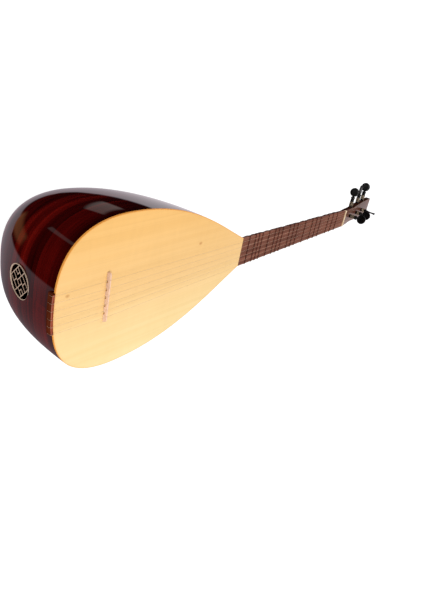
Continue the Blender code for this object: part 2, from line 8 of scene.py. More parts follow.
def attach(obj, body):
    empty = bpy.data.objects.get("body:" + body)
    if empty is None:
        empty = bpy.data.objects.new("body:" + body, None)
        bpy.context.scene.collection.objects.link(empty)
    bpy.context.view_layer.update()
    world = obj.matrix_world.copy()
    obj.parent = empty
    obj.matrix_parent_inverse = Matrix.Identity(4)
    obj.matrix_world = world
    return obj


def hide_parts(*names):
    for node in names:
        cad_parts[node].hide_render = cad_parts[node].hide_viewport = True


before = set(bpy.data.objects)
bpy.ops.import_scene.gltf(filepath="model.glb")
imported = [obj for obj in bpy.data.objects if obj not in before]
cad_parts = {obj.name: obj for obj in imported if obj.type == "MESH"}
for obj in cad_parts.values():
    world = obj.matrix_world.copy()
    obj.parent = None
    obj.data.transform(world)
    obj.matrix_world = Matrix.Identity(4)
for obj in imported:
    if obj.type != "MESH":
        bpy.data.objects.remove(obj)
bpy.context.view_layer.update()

# The instrument's sizes are in mm and its places are counted from the nut; new_piece makes them metres.
MM = 0.001
NUT_X = 317.085
BOARD_Z = 220.7
BASE = Vector((NUT_X, 0.0, BOARD_Z))
ROOT = "instrument"

STRING_LENGTH = 700.0
SCALE_LENGTH = 702.5
BODY_JOINT_X = -389.0
FRETS = (0.0556, 0.0833, 0.1111, 0.1605, 0.1852, 0.2099, 0.25, 0.2917, 0.3125,
         0.3333, 0.3704, 0.3889, 0.4074, 0.4375, 0.4688, 0.4844, 0.5, 0.5278)
NUT_HALF = 19.0
JOINT_HALF = 27.2
NECK_DEPTH = 20.0
NECK_THINNING = 3.0
HEEL_SWELL = 3.3
FINGERBOARD = 4.0
TAIL_STRING_Y = (26.2, 15.5, 3.8, -8.6, -19.8, -31.2)
BRIDGE_STRING_Y = (28.0, 15.6, 3.6, -8.3, -19.3, -30.3)
NUT_STRING_Y = (15.5, 9.8, 3.8, -2.6, -9.0, -15.5)
TAIL_X = -791.0
BODY_LENGTH = 401.7
OUTLINE_STEPS = 96
HALF_WIDTH = 120.0
HEEL_HALF = 27.5
BOWL_DEPTH = 217.4
HEEL_DEPTH = 17.0
TAIL_RECESS = 138.3
RIM_Z = -3.3
WIDEST = 118.0
RIBS_PER_SIDE = 7
BOWL_WALL = 3.0
SEAM_HALF = 0.0032
ARC_STEPS = 720
RIM_TAIL = ((0.0, 0.0), (0.0, 43.4), (3.6, HALF_WIDTH), (WIDEST, HALF_WIDTH))
RIM_NECK = ((WIDEST, HALF_WIDTH), (245.3, HALF_WIDTH), (328.8, 63.1),
            (BODY_LENGTH, HEEL_HALF))
ROSETTE_Z = -82.0
ROSETTE_OFFSET = 0.029
ROSETTE_LEAN = math.radians(3.3)
ROSETTE_INSET = 2.2
ROSETTE_RADIUS = 26.0
HOLE_RADIUS = ROSETTE_RADIUS - 0.3
# strips of the fretwork by their ends; each also appears turned by half a turn
STRIPS = ((-17.7, 17.5, 17.7, 17.5), (-15.0, 7.2, -4.5, 7.2), (-4.5, 4.2, 24.4, 4.2),
          (3.5, 9.8, 11.5, 9.8), (-15.0, -4.2, -15.0, 17.5), (-4.5, -4.2, -4.5, 17.5),
          (3.5, 9.8, 3.5, 17.5), (11.5, 4.2, 11.5, 17.5))
STRIP_SECTION = ((-0.7, -0.45), (-0.7, -0.12), (-0.45, 0.1), (0.0, 0.15), (0.45, 0.1), (0.7, -0.12),
                 (0.7, -0.45))
BRIDGE_HEIGHT = 6.0
BRIDGE_BASE = 4.6
BRIDGE_TOP = 2.0
BRIDGE_HALF = 39.0
BRIDGE_Y = -1.0
TAILPIECE_HALF = 30.8
TAILPIECE_Y = -2.6
NUT_TOP = 1.6
HEAD_TILT = math.radians(7.0)
HEAD_START = 2.0
HEAD_LENGTH = 162.0
# each: distance along the head, half width, depth, depth of the straight side, squareness
HEAD_STATIONS = ((0.0, 19.0, 20.0, 0.3, 1.0), (20.0, 18.0, 19.6, 2.5, 0.9),
                 (45.0, 16.3, 18.6, 5.0, 0.8), (75.0, 18.0, 17.4, 6.6, 0.7),
                 (105.0, 19.2, 16.4, 7.2, 0.65), (135.0, 19.3, 15.2, 7.2, 0.6),
                 (162.0, 18.6, 14.0, 7.0, 0.55))
FRONT_PEG_S = (33.0, 74.0, 110.0)
SIDE_PEG_S = (46.0, 88.0, 121.0)
SIDE_PEG_DEPTH = -7.6
SIDE_SHAFTS = (21.0, 17.7, 18.3)
FRONT_SHAFTS = (15.0, 11.8, 11.0)
SIDE_ROLLS = (16.0, 91.0, 16.0)
FRONT_ROLLS = (-16.0, -16.0, 74.0)
GRIP = 10.0
GRIP_REACH = 14.2
CORD_RADIUS = 0.4
WIRE_RADIUS = 0.13
WINDING_RADIUS = 4.42
# each knot: its place on the board, radius and strength
KNOTS = ((-770.3, 19.5, 1.5, 0.7), (-509.3, 41.7, 1.6, 0.8))


# ---------------------------------------------------------------- node helpers
class Nodes:
    """Small helper that builds a material's or a world's nodes step by step."""

    def __init__(self, name, kept_in=bpy.data.materials):
        self.owner = kept_in.new(name)
        self.owner.use_nodes = True
        self.tree = self.owner.node_tree
        self.shader = self.tree.nodes.get("Principled BSDF")

    def add(self, kind, **settings):
        node = self.tree.nodes.new(kind)
        for key, value in settings.items():
            setattr(node, key, value)
        return node

    def link(self, source, target):
        self.tree.links.new(source, target)

    def value(self, name, amount):
        self.shader.inputs[name].default_value = amount

    def feed(self, name, source):
        self.link(source, self.shader.inputs[name])

    def fill(self, sockets, values):
        """Set each socket to a number or colour, or link it to another node's socket."""
        for socket, value in zip(sockets, values):
            if isinstance(value, (int, float)):
                socket.default_value = value
            elif isinstance(value, tuple):
                socket.default_value = value + (1.0,)
            else:
                self.link(value, socket)

    def coords(self, kind="Object", scale=(1, 1, 1), uv=None):
        if uv:
            start = self.add("ShaderNodeUVMap", uv_map=uv).outputs["UV"]
        else:
            start = self.add("ShaderNodeTexCoord").outputs[kind]
        mapping = self.add("ShaderNodeMapping")
        mapping.inputs["Scale"].default_value = scale
        self.link(start, mapping.inputs["Vector"])
        return mapping.outputs["Vector"]

    def noise(self, vector, scale, detail=4.0, rough=0.55, distort=0.0):
        node = self.add("ShaderNodeTexNoise")
        node.inputs["Scale"].default_value = scale
        node.inputs["Detail"].default_value = detail
        node.inputs["Roughness"].default_value = rough
        node.inputs["Distortion"].default_value = distort
        self.link(vector, node.inputs["Vector"])
        return node.outputs["Fac"]

    def ramp(self, factor, stops):
        node = self.add("ShaderNodeValToRGB")
        elements = node.color_ramp.elements
        while len(elements) < len(stops):
            elements.new(0.5)
        for element, (at, colour) in zip(elements, stops):
            element.position = at
            if isinstance(colour, float):
                colour = (colour,) * 3
            element.color = tuple(colour) + (1.0,)
        self.link(factor, node.inputs["Fac"])
        return node.outputs["Color"]

    def mix(self, a, b, factor, blend="MIX"):
        node = self.add("ShaderNodeMix", data_type="RGBA", blend_type=blend)
        self.fill((node.inputs[0], node.inputs[6], node.inputs[7]), (factor, a, b))
        return node.outputs[2]

    def math(self, operation, *values):
        node = self.add("ShaderNodeMath", operation=operation)
        self.fill(node.inputs, values)
        return node.outputs[0]

    def remap(self, value, start, end, low, high, shape="LINEAR"):
        """Run from low to high while value runs from start to end."""
        node = self.add("ShaderNodeMapRange", interpolation_type=shape)
        sockets = [node.inputs[name] for name in ("Value", "From Min", "From Max", "To Min", "To Max")]
        self.fill(sockets, (value, start, end, low, high))
        return node.outputs["Result"]

    def spread(self, factor, low, high):
        return self.remap(factor, 0.0, 1.0, low, high)

    def fade(self, value, start, end):
        return self.remap(value, start, end, 0.0, 1.0, "SMOOTHSTEP")

    def component(self, axis, kind="Object"):
        node = self.add("ShaderNodeSeparateXYZ")
        self.link(self.coords(kind), node.inputs[0])
        return node.outputs[axis]

    def bump(self, height, strength, distance):
        node = self.add("ShaderNodeBump")
        node.inputs["Strength"].default_value = strength
        node.inputs["Distance"].default_value = distance
        self.link(height, node.inputs["Height"])
        self.feed("Normal", node.outputs["Normal"])

    def attribute(self, name):
        return self.add("ShaderNodeAttribute", attribute_name=name).outputs["Fac"]


def bowl_material():
    """Deep red mahogany, darker towards the neck partly by its own tone and partly by painted shade,
    with streaks along each rib under clear lacquer.
    """
    m = Nodes("bowl_lacquered_mahogany")
    wide = m.noise(m.coords(scale=(1.6, 24.0, 1.0), uv="grain"), 1.0, 3.0, 0.5, 0.35)
    bands = m.noise(m.coords(scale=(2.4, 70.0, 1.0), uv="grain"), 1.0, 4.0, 0.6, 0.5)
    fine = m.noise(m.coords(scale=(18.0, 620.0, 1.0), uv="grain"), 1.0, 4.0, 0.65)
    figure = m.noise(m.coords(scale=(22.0, 16.0, 1.0), uv="grain"), 1.0, 3.0, 0.5, 0.8)
    mixed = m.math("ADD", m.math("MULTIPLY", wide, 0.55), m.math("MULTIPLY", bands, 0.45))
    tone = m.attribute("rib_tone")
    mixed = m.math("ADD", mixed, m.math("MULTIPLY", m.math("SUBTRACT", tone, 0.5), 0.12))
    base = m.ramp(mixed, ((0.36, (0.008, 0.0003, 0.0003)), (0.46, (0.026, 0.0006, 0.0005)),
                          (0.55, (0.062, 0.0016, 0.0010)), (0.66, (0.115, 0.0045, 0.0022))))
    # painted shade in part: the colour is multiplied darker from the tail towards the neck, partly the
    # wood's own tone and partly shade falling on the bowl
    base = m.mix(base, m.remap(m.component("X"), -0.27, -0.46, 0.36, 1.3), 1.0, "MULTIPLY")
    base = m.mix(base, m.ramp(fine, ((0.38, 0.66), (0.6, 1.08))), 0.6, "MULTIPLY")
    base = m.mix(base, m.ramp(figure, ((0.3, 0.80), (0.7, 1.14))), 0.8, "MULTIPLY")
    seam = m.attribute("rib_seam")
    base = m.mix(base, (0.004, 0.0008, 0.0008), m.math("MULTIPLY", seam, 0.55))
    m.feed("Base Color", base)
    smudge = m.noise(m.coords(), 14.0, 3.0, 0.6)
    m.feed("Roughness", m.spread(smudge, 0.30, 0.44))
    m.value("Coat Weight", 1.0)
    m.value("Coat Roughness", 0.02)
    m.value("Specular IOR Level", 0.0)
    ripple = m.noise(m.coords(), 9.0, 1.0, 0.4)
    m.bump(ripple, 0.05, 0.0005)
    return m.owner


def spruce_material():
    """Straight-grained spruce with a painted sheen making it paler towards one side, orange at the cut
    edge, with two knots.
    """
    m = Nodes("soundboard_spruce")
    grain = m.noise(m.coords(scale=(3.0, 720.0, 3.0)), 1.0, 3.0, 0.6)
    growth = m.noise(m.coords(scale=(1.0, 95.0, 1.0)), 1.0, 3.0, 0.5, 0.2)
    cloud = m.noise(m.coords(scale=(5.0, 9.0, 4.0)), 1.0, 3.0, 0.5)
    silk = m.noise(m.coords(scale=(120.0, 30.0, 10.0)), 1.0, 4.0, 0.6)
    # painted sheen: the colour runs from orange to pale across the board, standing in for light falling
    # more on one side
    painted_sheen_across = m.remap(m.component("Y"), 0.12, -0.12, 0.0, 1.0)
    base = m.ramp(painted_sheen_across, ((0.0, (0.74, 0.420, 0.125)), (0.5, (0.750, 0.480, 0.200)),
                           (1.0, (0.775, 0.600, 0.290))))
    base = m.mix(base, m.ramp(growth, ((0.30, (0.965, 0.95, 0.90)), (0.60, (1.01, 1.015, 1.03)))), 1.0,
                 "MULTIPLY")
    base = m.mix(base, m.ramp(grain, ((0.36, 0.93), (0.58, 1.02))), 0.4, "MULTIPLY")
    base = m.mix(base, m.ramp(cloud, ((0.3, (0.975, 0.965, 0.93)), (0.7, (1.02, 1.025, 1.05)))), 1.0,
                 "MULTIPLY")
    base = m.mix(base, m.ramp(silk, ((0.35, 0.98), (0.65, 1.015))), 0.6, "MULTIPLY")
    rim_shade = m.attribute("rim_shade")
    base = m.mix(base, (0.70, 0.27, 0.030), rim_shade)
    knot = m.attribute("knot")
    base = m.mix(base, (0.42, 0.17, 0.035), knot)
    m.feed("Base Color", base)
    m.feed("Roughness", m.spread(cloud, 0.34, 0.46))
    m.value("Coat Weight", 0.15)
    m.value("Coat Roughness", 0.22)
    m.value("Specular IOR Level", 0.35)
    m.bump(m.math("ADD", m.math("MULTIPLY", grain, 0.8), m.math("MULTIPLY", silk, 0.3)), 0.12, 0.0002)
    return m.owner


def wood_material(name, dark, middle, light, rough=(0.28, 0.45), pore=1.0, coat=0.3, axis="X",
                  grain_scale=1.0, painted_side_shade=1.0, shine=0.5):
    """Hardwood with long grain, open pores and slow colour drift; faces turned away from up may get
    painted shade.
    """
    m = Nodes(name)
    long = {"X": (4.0, 110.0, 110.0), "Y": (110.0, 4.0, 110.0)}[axis]
    short = {"X": (36.0, 1500.0, 1500.0), "Y": (1500.0, 36.0, 1500.0)}[axis]
    long = tuple(v * grain_scale for v in long)
    streak = m.noise(m.coords(scale=long), 1.0, 5.0, 0.6, 0.6)
    pores = m.noise(m.coords(scale=short), 1.0, 3.0, 0.6)
    drift = m.noise(m.coords(), 18.0, 3.0, 0.5)
    base = m.ramp(streak, ((0.34, dark), (0.52, middle), (0.70, light)))
    base = m.mix(base, m.ramp(pores, ((0.34, 0.45), (0.50, 1.05))), 0.6 * pore, "MULTIPLY")
    base = m.mix(base, m.ramp(drift, ((0.3, 0.84), (0.7, 1.12))), 0.9, "MULTIPLY")
    m.value("Coat Weight", coat)
    m.value("Specular IOR Level", shine)
    # painted shade: faces that don't point up are made darker, and their coat and shine fade
    if painted_side_shade < 1.0:
        facing = m.component("Z", "Normal")
        base = m.mix(base, m.ramp(facing, ((0.55, painted_side_shade), (0.85, 1.0))), 1.0, "MULTIPLY")
        polished = m.ramp(facing, ((0.55, 0.0), (0.85, 1.0)))
        m.feed("Coat Weight", m.math("MULTIPLY", polished, coat))
        m.feed("Specular IOR Level", m.math("MULTIPLY", polished, shine))
    m.feed("Base Color", base)
    m.feed("Roughness", m.spread(drift, rough[0], rough[1]))
    m.value("Coat Roughness", 0.08)
    m.bump(m.math("ADD", pores, m.math("MULTIPLY", streak, 0.5)), 0.18, 0.0003)
    return m.owner


def bone_material(name, light, dark, fretwork=False):
    """Polished bone with soft clouds and flecks; fretwork gets painted shade on the sides of its strips.
    """
    m = Nodes(name)
    cloud = m.noise(m.coords(), 60.0, 4.0, 0.6)
    fleck = m.noise(m.coords(scale=(900.0, 900.0, 300.0)), 1.0, 3.0, 0.6)
    base = m.ramp(cloud, ((0.3, dark), (0.65, light)))
    base = m.mix(base, m.ramp(fleck, ((0.35, 0.80), (0.55, 1.04))), 0.5, "MULTIPLY")
    if fretwork:
        # painted shade: the strips' sides and undersides are made dark brown
        base = m.mix(base, (0.12, 0.045, 0.018), m.math("MULTIPLY", m.attribute("strip_side_shade"), 0.9))
    m.feed("Base Color", base)
    m.feed("Roughness", m.spread(cloud, 0.30, 0.5))
    m.bump(fleck, 0.15, 0.0002)
    return m.owner


def ebony_material():
    """Turned ebony: near black with faint brown streaks and a hand polish."""
    m = Nodes("peg_ebony")
    streak = m.noise(m.coords(scale=(320.0, 320.0, 320.0)), 1.0, 5.0, 0.6, 1.0)
    cloud = m.noise(m.coords(), 90.0, 3.0, 0.5)
    base = m.ramp(streak, ((0.40, (0.0012, 0.0012, 0.0014)), (0.62, (0.0035, 0.0032, 0.0034)),
                           (0.78, (0.012, 0.008, 0.006))))
    m.feed("Base Color", base)
    m.feed("Roughness", m.spread(cloud, 0.16, 0.34))
    m.value("Specular IOR Level", 0.22)
    m.bump(streak, 0.12, 0.0002)
    return m.owner


def cord_material():
    """Dark red-brown nylon fret line with cloudy colour and a fine twisted texture."""
    m = Nodes("fret_nylon")
    twist = m.noise(m.coords(scale=(700.0, 700.0, 700.0)), 1.0, 3.0, 0.5)
    cloud = m.noise(m.coords(), 120.0, 3.0, 0.5)
    base = m.ramp(cloud, ((0.3, (0.038, 0.007, 0.004)), (0.7, (0.085, 0.017, 0.009))))
    m.feed("Base Color", base)
    m.feed("Roughness", m.spread(twist, 0.28, 0.5))
    m.value("Specular IOR Level", 0.1)
    m.bump(twist, 0.1, 0.0001)
    return m.owner


def steel_material():
    """Drawn steel wire with fine lengthwise marks."""
    m = Nodes("string_steel")
    marks = m.noise(m.coords(scale=(300.0, 2600.0, 2600.0)), 1.0, 2.0, 0.5)
    cloud = m.noise(m.coords(), 40.0, 3.0, 0.5)
    base = m.ramp(cloud, ((0.3, (0.50, 0.38, 0.25)), (0.7, (0.66, 0.52, 0.37))))
    m.feed("Base Color", base)
    m.value("Metallic", 0.55)
    m.feed("Roughness", m.spread(marks, 0.34, 0.5))
    m.bump(marks, 0.1, 0.00005)
    return m.owner


# ---------------------------------------------------------------- mesh helpers
def add_object(name, data):
    made = bpy.data.objects.new(name, data)
    bpy.context.scene.collection.objects.link(made)
    return made


def mesh_object(name, bm):
    mesh = bpy.data.meshes.new(name)
    bm.to_mesh(mesh)
    bm.free()
    return add_object(name, mesh)


def place_in_metres(bm):
    for vert in bm.verts:
        vert.co = (vert.co + BASE) * MM


def new_piece(name, bm, material, sharp=35.0, merge=0.000002, body=ROOT):
    """Turn a bmesh (in mm from the nut) into a placed, riding object."""
    if merge:
        bmesh.ops.remove_doubles(bm, verts=bm.verts, dist=merge / MM)
    bmesh.ops.recalc_face_normals(bm, faces=bm.faces)
    place_in_metres(bm)
    limit = math.radians(sharp)
    for face in bm.faces:
        face.smooth = True
    for edge in bm.edges:
        edge.smooth = len(edge.link_faces) == 2 and edge.calc_face_angle(0.0) < limit
    made = mesh_object(name, bm)
    made.data.materials.append(material)
    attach(made, body)
    return made


def loft(bm, rings, loop=False):
    """Skin rings of equal count; the ends are capped unless the last ring meets the first."""
    rows = [[bm.verts.new(Vector(p)) for p in ring] for ring in rings]
    count = len(rows[0])
    pairs = list(zip(rows, rows[1:]))
    if loop:
        pairs.append((rows[-1], rows[0]))
    for near, far in pairs:
        for i in range(count):
            j = (i + 1) % count
            bm.faces.new((near[i], near[j], far[j], far[i]))
    if not loop:
        bm.faces.new(rows[0][::-1])
        bm.faces.new(rows[-1])
    return rows


def sweep(bm, points, radius, sides=8, loop=False):
    """Round tube along points, with a frame carried along so it never twists."""
    points = [Vector(p) for p in points]
    count = len(points)
    rings = []
    normal = None
    for i, here in enumerate(points):
        before = points[i - 1] if (i > 0 or loop) else here
        after = points[(i + 1) % count] if (i < count - 1 or loop) else here
        along = (after - before).normalized()
        if normal is None:
            normal = along.orthogonal().normalized()
        normal = (normal - along * normal.dot(along)).normalized()
        side = along.cross(normal)
        rings.append([here + (normal * math.cos(math.tau * k / sides)
                              + side * math.sin(math.tau * k / sides)) * radius
                      for k in range(sides)])
    if loop:
        # the last ring meets the first one turned as little as possible
        first = rings[0]
        best = min(range(sides), key=lambda s: (rings[-1][s] - first[0]).length)
        rings[-1] = rings[-1][best:] + rings[-1][:best]
    loft(bm, rings, loop=loop)


def apply_modifiers(made):
    graph = bpy.context.evaluated_depsgraph_get()
    mesh = bpy.data.meshes.new_from_object(made.evaluated_get(graph))
    old = made.data
    made.modifiers.clear()
    made.data = mesh
    bpy.data.meshes.remove(old)


def bezier(points, u):
    """Point of a cubic curve with four control points, u from 0 to 1."""
    v = 1.0 - u
    weights = (v * v * v, 3 * v * v * u, 3 * v * u * u, u * u * u)
    return (sum(w * p[0] for w, p in zip(weights, points)),
            sum(w * p[1] for w, p in zip(weights, points)))


def rim(t):
    """The bowl's outline: distance from the tail and half width, t from 0 at the tail to 1."""
    side = -1.0 if t < 0 else 1.0
    t = abs(t)
    if t <= 0.5:
        along, half = bezier(RIM_TAIL, t * 2.0)
    else:
        along, half = bezier(RIM_NECK, t * 2.0 - 1.0)
    return along, side * half


def power(value, exponent):
    """Power that keeps the sign."""
    return math.copysign(abs(value) ** exponent, value)


def bowl_raw(angle, t):
    """Point of the bowl's outer face; angle runs from the rim down to the keel."""
    along, half = rim(t)
    share = min(along / BODY_LENGTH, 1.0)
    blend = share ** 3
    cosine = math.cos(angle)
    sine = math.sin(angle)
    tuck = TAIL_RECESS * (1.0 - share) * (1.0 - abs(cosine) ** 0.89) ** 1.26
    depth = HEEL_DEPTH + (BOWL_DEPTH - HEEL_DEPTH) * (1.0 - share ** 2.93) ** 0.88
    return Vector((TAIL_X + along + tuck,
                   half * power(cosine, 0.54 + 0.46 * blend),
                   RIM_Z - depth * power(sine, 0.95 + 0.05 * blend)))


def bowl_normal(angle, t):
    """Outward normal of the bowl's face, found by small steps along it."""
    step = 0.0005
    if abs(t) < 1e-9:
        sideways = Vector((0.0, 1.0, 0.0))
        if angle < 0.8:
            around = bowl_raw(angle + step, t) - bowl_raw(angle, t)
        else:
            around = bowl_raw(angle, t) - bowl_raw(angle - step, t)
    else:
        sideways = bowl_raw(angle, t + step) - bowl_raw(angle, t - step)
        if t > 1.0 - step:
            sideways = bowl_raw(angle, t) - bowl_raw(angle, t - step)
        around = bowl_raw(angle + step, t) - bowl_raw(angle - step, t)
    normal = around.cross(sideways).normalized()
    spot = bowl_raw(angle, t)
    middle = Vector((min(max(spot.x, TAIL_X + 91.0), BODY_JOINT_X - 6.0), 0.0, RIM_Z - 8.0))
    return normal if normal.dot(spot - middle) > 0 else -normal


def bowl(angle, t, inward=0.0):
    """As bowl_raw, from one rim right round to the other, and set in along the normal."""
    flip = 1.0
    if angle > math.pi / 2:
        angle = math.pi - angle
        flip = -1.0
    spot = bowl_raw(angle, t)
    if inward:
        spot = spot - bowl_normal(angle, t) * inward
    return Vector((spot.x, spot.y * flip, spot.z))


def arc_table(t, steps):
    """Distance run round the bowl's section at t, from the rim to the keel."""
    spots = [bowl_raw(math.pi / 2 * i / steps, t) for i in range(steps + 1)]
    run = [0.0]
    for near, far in zip(spots, spots[1:]):
        run.append(run[-1] + (far - near).length)
    return run


WIDEST_RUN = arc_table(0.5, ARC_STEPS)
RIB_WIDTH = WIDEST_RUN[-1] / (RIBS_PER_SIDE + 0.5)


def rib_place(angle):
    """Which rib an angle falls in, counted with its fraction from the rim."""
    angle = min(angle, math.pi - angle)
    spot = angle / (math.pi / 2) * ARC_STEPS
    low = min(int(spot), ARC_STEPS - 1)
    return (WIDEST_RUN[low] + (WIDEST_RUN[low + 1] - WIDEST_RUN[low]) * (spot - low)) / RIB_WIDTH


# ------------------------------------------------------------------- the bowl
def make_bowl():
    """One polished shell, 3 mm thick; rib tones and joints are kept as attributes."""
    angle_edges = []
    for k in range(RIBS_PER_SIDE + 1):
        goal = k * RIB_WIDTH
        index = min(range(ARC_STEPS + 1), key=lambda i: abs(WIDEST_RUN[i] - goal))
        angle_edges.append(math.pi / 2 * index / ARC_STEPS)
    half = []
    for near, far in zip(angle_edges, angle_edges[1:]):
        gap = min(SEAM_HALF, (far - near) * 0.05)
        inner = [near + gap + (far - near - 2 * gap) * j / 7 for j in range(8)]
        half += ([near] if near == 0.0 else []) + inner + [far]
    last = angle_edges[-1]
    half += [last + SEAM_HALF + (math.pi / 2 - last - SEAM_HALF) * j / 4 for j in range(5)]
    angles = half + [math.pi - a for a in half[-2::-1]]
    ts = [0.0, 0.0012] + [0.5 * (i / 44) ** 1.1 for i in range(1, 45)]
    ts += [0.5 + 0.5 * i / 46 for i in range(1, 47)]
    bm = bmesh.new()
    uv_layer = bm.loops.layers.uv.new("grain")
    tone = bm.faces.layers.float.new("rib_tone")
    seam = bm.verts.layers.float.new("rib_seam")
    outer = []
    inner = []
    for i, t in enumerate(ts):
        row_out = []
        row_in = []
        for j, angle in enumerate(angles):
            for row, inward in ((row_out, 0.0), (row_in, BOWL_WALL)):
                spot = bowl(angle, t, inward)
                if i == 0:
                    spot.y = 0.0
                row.append(bm.verts.new(spot))
        outer.append(row_out)
        inner.append(row_in)
    lengths = [0.0]
    for near, far in zip(ts, ts[1:]):
        a, b = Vector(rim(near)), Vector(rim(far))
        lengths.append(lengths[-1] + (b - a).length)
    tones = (0.50, 0.30, 0.68, 0.42, 0.60, 0.25, 0.55, 0.45)
    columns = len(angles) - 1
    for i in range(len(ts) - 1):
        for j in range(columns):
            middle = 0.5 * (angles[j] + angles[j + 1])
            place = rib_place(middle)
            side = 0.0 if middle < math.pi / 2 else 3.1
            for rows, order in ((outer, (0, 1, 2, 3)), (inner, (0, 3, 2, 1))):
                corners = ((i, j), (i, j + 1), (i + 1, j + 1), (i + 1, j))
                quad = [rows[corners[k][0]][corners[k][1]] for k in order]
                face = bm.faces.new(quad)
                rib_number = int(place)
                face[tone] = tones[rib_number % 8] + (0.06 if side else 0.0)
                for loop, k in zip(face.loops, order):
                    row, column = corners[k]
                    u = lengths[row] * MM + rib_number * 1.7 + side
                    v = rib_place(angles[column]) * RIB_WIDTH * MM + rib_number * 0.31 + side
                    loop[uv_layer].uv = (u, v)
    for j in (0, columns):
        for i in range(len(ts) - 1):
            bm.faces.new((outer[i][j], outer[i + 1][j], inner[i + 1][j], inner[i][j]))
    for j in range(columns):
        bm.faces.new((outer[-1][j], inner[-1][j], inner[-1][j + 1], outer[-1][j + 1]))
    for i, t in enumerate(ts):
        for j, angle in enumerate(angles):
            flat = min(angle, math.pi - angle)
            on_edge = any(abs(flat - a) < 1e-6 for a in angle_edges[1:])
            outer[i][j][seam] = 1.0 if (on_edge or i == 0) else 0.0
    return new_piece("bowl", bm, bowl_material(), sharp=40.0, merge=0.00000002)


rosette_angle = min((math.pi / 2 * i / 2000 for i in range(2001)),
                    key=lambda a: abs(bowl_raw(a, 0.0).z - ROSETTE_Z))
rosette_out = Matrix.Rotation(ROSETTE_LEAN, 3, "Z") @ bowl_normal(rosette_angle, ROSETTE_OFFSET)
rosette_turn = rosette_out.to_track_quat("Z", "Y").to_matrix().to_4x4()
rosette_at = bowl(rosette_angle, ROSETTE_OFFSET, ROSETTE_INSET)
rosette_place = Matrix.Translation(rosette_at) @ rosette_turn

bowl_piece = make_bowl()
cutter_bm = bmesh.new()
loft(cutter_bm, [[rosette_place @ Vector((HOLE_RADIUS * math.cos(math.tau * k / 72),
                                          HOLE_RADIUS * math.sin(math.tau * k / 72), z))
                  for k in range(72)] for z in (-14.0, 14.0)])
place_in_metres(cutter_bm)
bmesh.ops.recalc_face_normals(cutter_bm, faces=cutter_bm.faces)
cutter = mesh_object("rosette_cutter", cutter_bm)
cut = bowl_piece.modifiers.new("soundhole", "BOOLEAN")
cut.operation = "DIFFERENCE"
cut.object = cutter
cut.solver = "EXACT"
apply_modifiers(bowl_piece)
bpy.data.objects.remove(cutter, do_unlink=True)
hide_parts("rib_keel",
            *["rib_%s_%d" % (side, k) for side in ("left", "right")
              for k in range(1, RIBS_PER_SIDE + 1)])


# ------------------------------------------------------------------ soundboard
def make_board():
    outline = []
    for i in range(OUTLINE_STEPS + 1):
        along, half = rim(i / OUTLINE_STEPS)
        outline.append(Vector((TAIL_X + along, half)))
    outline += [Vector((p.x, -p.y)) for p in outline[:0:-1]]
    count = len(outline)
    middle = Vector((-600.0, 0.0))

    def inset(distance):
        ring = []
        for i, here in enumerate(outline):
            if i in (OUTLINE_STEPS, OUTLINE_STEPS + 1):
                # the two corners at the neck slide straight in along the end
                ring.append(Vector((here.x, here.y - math.copysign(distance * 1.12, here.y))))
                continue
            edge = (outline[(i + 1) % count] - outline[i - 1]).normalized()
            inward = Vector((-edge.y, edge.x))
            if inward.dot(middle - here) < 0:
                inward = -inward
            spot = here + inward * distance
            spot.x = min(spot.x, TAIL_X + BODY_LENGTH - 0.3)
            if abs(spot.y) < 1e-6:
                spot.y = 0.0
            ring.append(spot)
        return ring

    bm = bmesh.new()
    shade = bm.verts.layers.float.new("rim_shade")
    knot = bm.verts.layers.float.new("knot")
    steps = ((0.0, -3.0, 1.0), (0.0, -0.7, 1.0), (0.1, -0.32, 1.0), (0.3, -0.09, 0.85),
             (0.6, 0.0, 0.45), (1.2, 0.0, 0.16), (2.6, 0.0, 0.04), (5.0, 0.0, 0.0))
    rows = []
    for distance, z, amount in steps:
        row = []
        for spot in inset(distance):
            vert = bm.verts.new((spot.x, spot.y, z))
            vert[shade] = amount
            row.append(vert)
        rows.append(row)
    for near, far in zip(rows, rows[1:]):
        for i in range(count):
            j = (i + 1) % count
            bm.faces.new((near[i], near[j], far[j], far[i]))
    bm.faces.new(rows[0][::-1])
    # the field is laid out in strips from side to side, fine enough for the knots
    inner = rows[-1]
    half_count = (count + 1) // 2
    left = inner[:half_count]
    right = [inner[0]] + inner[:half_count - 1:-1]
    strips = 30
    previous = None
    for a, b in zip(left[1:], right[1:]):
        line = [a]
        for k in range(1, strips):
            share = k / strips
            line.append(bm.verts.new(a.co.lerp(b.co, share)))
        line.append(b)
        if previous:
            for k in range(strips):
                bm.faces.new((previous[k], previous[k + 1], line[k + 1], line[k]))
        else:
            for k in range(strips):
                bm.faces.new((left[0], line[k], line[k + 1]))
        previous = line
    for x, y, size, amount in KNOTS:
        near = [f for f in bm.faces if len(f.verts) < 9 and
                (f.calc_center_median().xy - Vector((x, y))).length < 9.0]
        for _ in range(2):
            bmesh.ops.subdivide_edges(bm, edges=list({e for f in near for e in f.edges}),
                                      cuts=2, use_grid_fill=True)
            near = [f for f in bm.faces if len(f.verts) < 9 and
                    (f.calc_center_median().xy - Vector((x, y))).length < 5.0]
        for vert in bm.verts:
            gap = Vector(((vert.co.x - x) * 0.7, vert.co.y - y)).length / size
            if gap < 2.2 and vert.co.z > -0.5:
                vert[knot] = max(vert[knot], amount * max(0.0, 1.0 - (gap / 2.2) ** 1.2))
    bmesh.ops.triangulate(bm, faces=[f for f in bm.faces
                                     if len(f.verts) > 4 and f.calc_center_median().z > -2])
    return new_piece("soundboard_plate", bm, spruce_material(), sharp=50.0, merge=0)


board = make_board()
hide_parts("soundboard")


# ------------------------------------------------------- neck and fingerboard
def neck_half(x):
    return NUT_HALF + (JOINT_HALF - NUT_HALF) * x / BODY_JOINT_X


